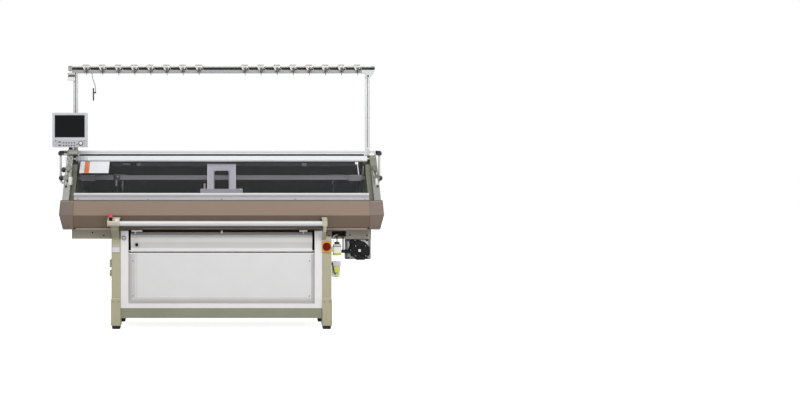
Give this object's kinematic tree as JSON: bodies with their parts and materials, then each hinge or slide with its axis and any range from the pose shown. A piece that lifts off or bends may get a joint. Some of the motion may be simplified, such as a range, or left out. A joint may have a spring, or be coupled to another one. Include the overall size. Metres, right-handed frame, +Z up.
{
  "type": "flat knitting machine",
  "caption": "Floor-standing flat knitting machine: V-shaped needle beds with a sliding carriage under a clear hinged cover, yarn stand on top, swivelling monitor and operating bar.",
  "frame": {"origin": "on the floor under the middle of the machine's overall box", "axes": "+X to the machine's right as the operator sees it, along the needle beds; +Y away from the operator, to the machine's back; +Z up"},
  "size_m": [2.7635, 0.8895, 2.196],
  "materials": {
    "leg_paint": "satin",
    "frame_paint": "satin",
    "white_sheet": "satin",
    "taupe_paint": "satin",
    "grey_paint": "satin",
    "aluminium": "satin",
    "clear": "gloss",
    "bed_steel": "brushed",
    "bright_steel": "polished",
    "roller_rubber": "matt",
    "black_rubber": "matt",
    "cream_plastic": "matt",
    "white_plastic": "satin",
    "grey_plastic": "matt",
    "screen": "gloss",
    "black_plastic": "matt",
    "red_plastic": "gloss",
    "dark_red_plastic": "matt",
    "orange_plate": "satin",
    "cord_grey": "matt"
  },
  "bodies": {
    "frame": {"leg_left": "leg_paint", "leg_right": "leg_paint", "feet": "roller_rubber", "cross_beams": "frame_paint", "base_frame": "frame_paint", "front_trim": "white_sheet", "lower_panel": "white_sheet", "front_apron": "taupe_paint", "rear_apron": "taupe_paint", "end_cover_left": "taupe_paint", "end_cover_right": "taupe_paint", "side_plate_left": "grey_paint", "side_plate_right": "grey_paint", "top_rail": "white_sheet", "rear_hood": "taupe_paint", "front_needle_bed": "bed_steel", "bed_bearers": "frame_paint", "carrier_rails": "aluminium", "drive_belts": "black_rubber", "motor_plate": "grey_paint", "drive_motor": "grey_paint", "estop_box": "cream_plastic", "bar_bracket": "cream_plastic", "switch_plate": "orange_plate", "yarn_posts": "aluminium", "yarn_crossbar": "aluminium", "tension_bodies": "white_plastic", "tension_levers": "bright_steel", "signal_lamp": "white_plastic", "tool_cord": "cord_grey", "hand_tool": "black_plastic", "monitor_block": "grey_paint", "side_yarn_gear": "black_plastic", "oil_reservoir": "white_plastic", "lubricator": "white_plastic", "cables": "black_rubber", "control_cabinet": "frame_paint"},
    "carriage": {"front_carriage": "aluminium", "rear_carriage": "aluminium", "carriage_bridge": "aluminium"},
    "rear_bed": {"rear_needle_bed": "bed_steel"},
    "drive_pulley": {"drive_pulley": "bright_steel"},
    "idler_pulley": {"idler_pulley": "bright_steel"},
    "motor_pulley": {"motor_pulley": "bright_steel"},
    "takedown_front": {"takedown_roller_front": "roller_rubber"},
    "takedown_rear": {"takedown_roller_rear": "roller_rubber"},
    "racking_screw": {"racking_screw": "bed_steel"},
    "cover": {"cover_rails": "aluminium", "cover_panel": "clear"},
    "monitor_neck": {"monitor_neck": "black_plastic"},
    "monitor": {"monitor_housing": "grey_plastic", "monitor_screen": "screen"},
    "estop_button": {"estop_button": "red_plastic"},
    "operating_bar": {"operating_bar": "aluminium"},
    "switch_knob": {"switch_knob": "dark_red_plastic"},
    "trim_latch": {"trim_latch": "bright_steel"},
    "chute_panel": {"chute_panel": "white_sheet"},
    "yarn_carrier_1": {"yarn_carrier_1": "bed_steel"},
    "yarn_carrier_2": {"yarn_carrier_2": "bed_steel"},
    "yarn_carrier_3": {"yarn_carrier_3": "bed_steel"}
  },
  "joints": [
    {"name": "carriage_slide", "type": "slide", "parent": "frame", "child": "carriage", "axis": [1, 0, 0], "range_m": [-0.86, 0.86]},
    {"name": "drive_pulley_spin", "type": "hinge", "parent": "frame", "child": "drive_pulley", "pos_m": [1.18, -0.11, 0.9], "axis": [0, 1, 0], "continuous": true},
    {"name": "idler_pulley_spin", "type": "hinge", "parent": "frame", "child": "idler_pulley", "pos_m": [-1.116, -0.11, 0.9], "axis": [0, 1, 0], "continuous": true},
    {"name": "motor_pulley_spin", "type": "hinge", "parent": "frame", "child": "motor_pulley", "pos_m": [1.18, -0.12, 0.64], "axis": [0, 1, 0], "continuous": true},
    {"name": "rear_bed_rack", "type": "slide", "parent": "frame", "child": "rear_bed", "axis": [1, 0, 0], "range_m": [-0.025, 0.025]},
    {"name": "racking_screw_spin", "type": "hinge", "parent": "frame", "child": "racking_screw", "pos_m": [-0.928, 0.178, 0.905], "axis": [1, 0, 0], "continuous": true},
    {"name": "takedown_front_spin", "type": "hinge", "parent": "frame", "child": "takedown_front", "pos_m": [0.032, 0.0225, 0.93], "axis": [1, 0, 0], "continuous": true},
    {"name": "takedown_rear_spin", "type": "hinge", "parent": "frame", "child": "takedown_rear", "pos_m": [0.032, 0.0675, 0.93], "axis": [1, 0, 0], "continuous": true},
    {"name": "cover_lift", "type": "hinge", "parent": "frame", "child": "cover", "pos_m": [0.032, 0.008, 1.403], "axis": [-1, 0, 0], "range_deg": [0, 60]},
    {"name": "monitor_swivel", "type": "hinge", "parent": "frame", "child": "monitor_neck", "pos_m": [-1.238, -0.026, 1.48], "axis": [0, 0, 1], "range_deg": [-50, 50]},
    {"name": "monitor_tilt", "type": "hinge", "parent": "monitor_neck", "child": "monitor", "pos_m": [-1.238, -0.048, 1.642], "axis": [1, 0, 0], "range_deg": [-20, 8]},
    {"name": "estop_push", "type": "slide", "parent": "frame", "child": "estop_button", "axis": [0, 0.4472, -0.8944], "range_m": [0, 0.005], "stiffness_N_per_m": 1200, "springref_m": -0.004},
    {"name": "operating_bar_turn", "type": "hinge", "parent": "frame", "child": "operating_bar", "pos_m": [0.032, -0.43, 0.873], "axis": [1, 0, 0], "range_deg": [-15, 15], "stiffness_Nm_per_rad": 8},
    {"name": "main_switch_turn", "type": "hinge", "parent": "frame", "child": "switch_knob", "pos_m": [0.894, -0.31, 0.678], "axis": [0, 1, 0], "range_deg": [0, 90]},
    {"name": "trim_latch_turn", "type": "hinge", "parent": "frame", "child": "trim_latch", "pos_m": [-0.769, -0.29, 0.748], "axis": [0, 1, 0], "range_deg": [0, 90]},
    {"name": "chute_tilt", "type": "hinge", "parent": "frame", "child": "chute_panel", "pos_m": [0.032, -0.262, 0.641], "axis": [1, 0, 0], "range_deg": [0, 60]},
    {"name": "yarn_carrier_1_slide", "type": "slide", "parent": "frame", "child": "yarn_carrier_1", "axis": [1, 0, 0], "range_m": [-0.155, 1.92]},
    {"name": "yarn_carrier_2_slide", "type": "slide", "parent": "frame", "child": "yarn_carrier_2", "axis": [1, 0, 0], "range_m": [-0.2, 1.88]},
    {"name": "yarn_carrier_3_slide", "type": "slide", "parent": "frame", "child": "yarn_carrier_3", "axis": [1, 0, 0], "range_m": [-1.99, 0.09]}
  ],
  "couplings": [
    {"joint": "drive_pulley_spin", "follows": "carriage_slide", "rad_per_m": 23.641},
    {"joint": "idler_pulley_spin", "follows": "carriage_slide", "rad_per_m": 23.641},
    {"joint": "motor_pulley_spin", "follows": "carriage_slide", "rad_per_m": 30.8},
    {"joint": "racking_screw_spin", "follows": "rear_bed_rack", "rad_per_m": 628.32},
    {"joint": "takedown_rear_spin", "follows": "takedown_front_spin", "ratio": -1}
  ]
}
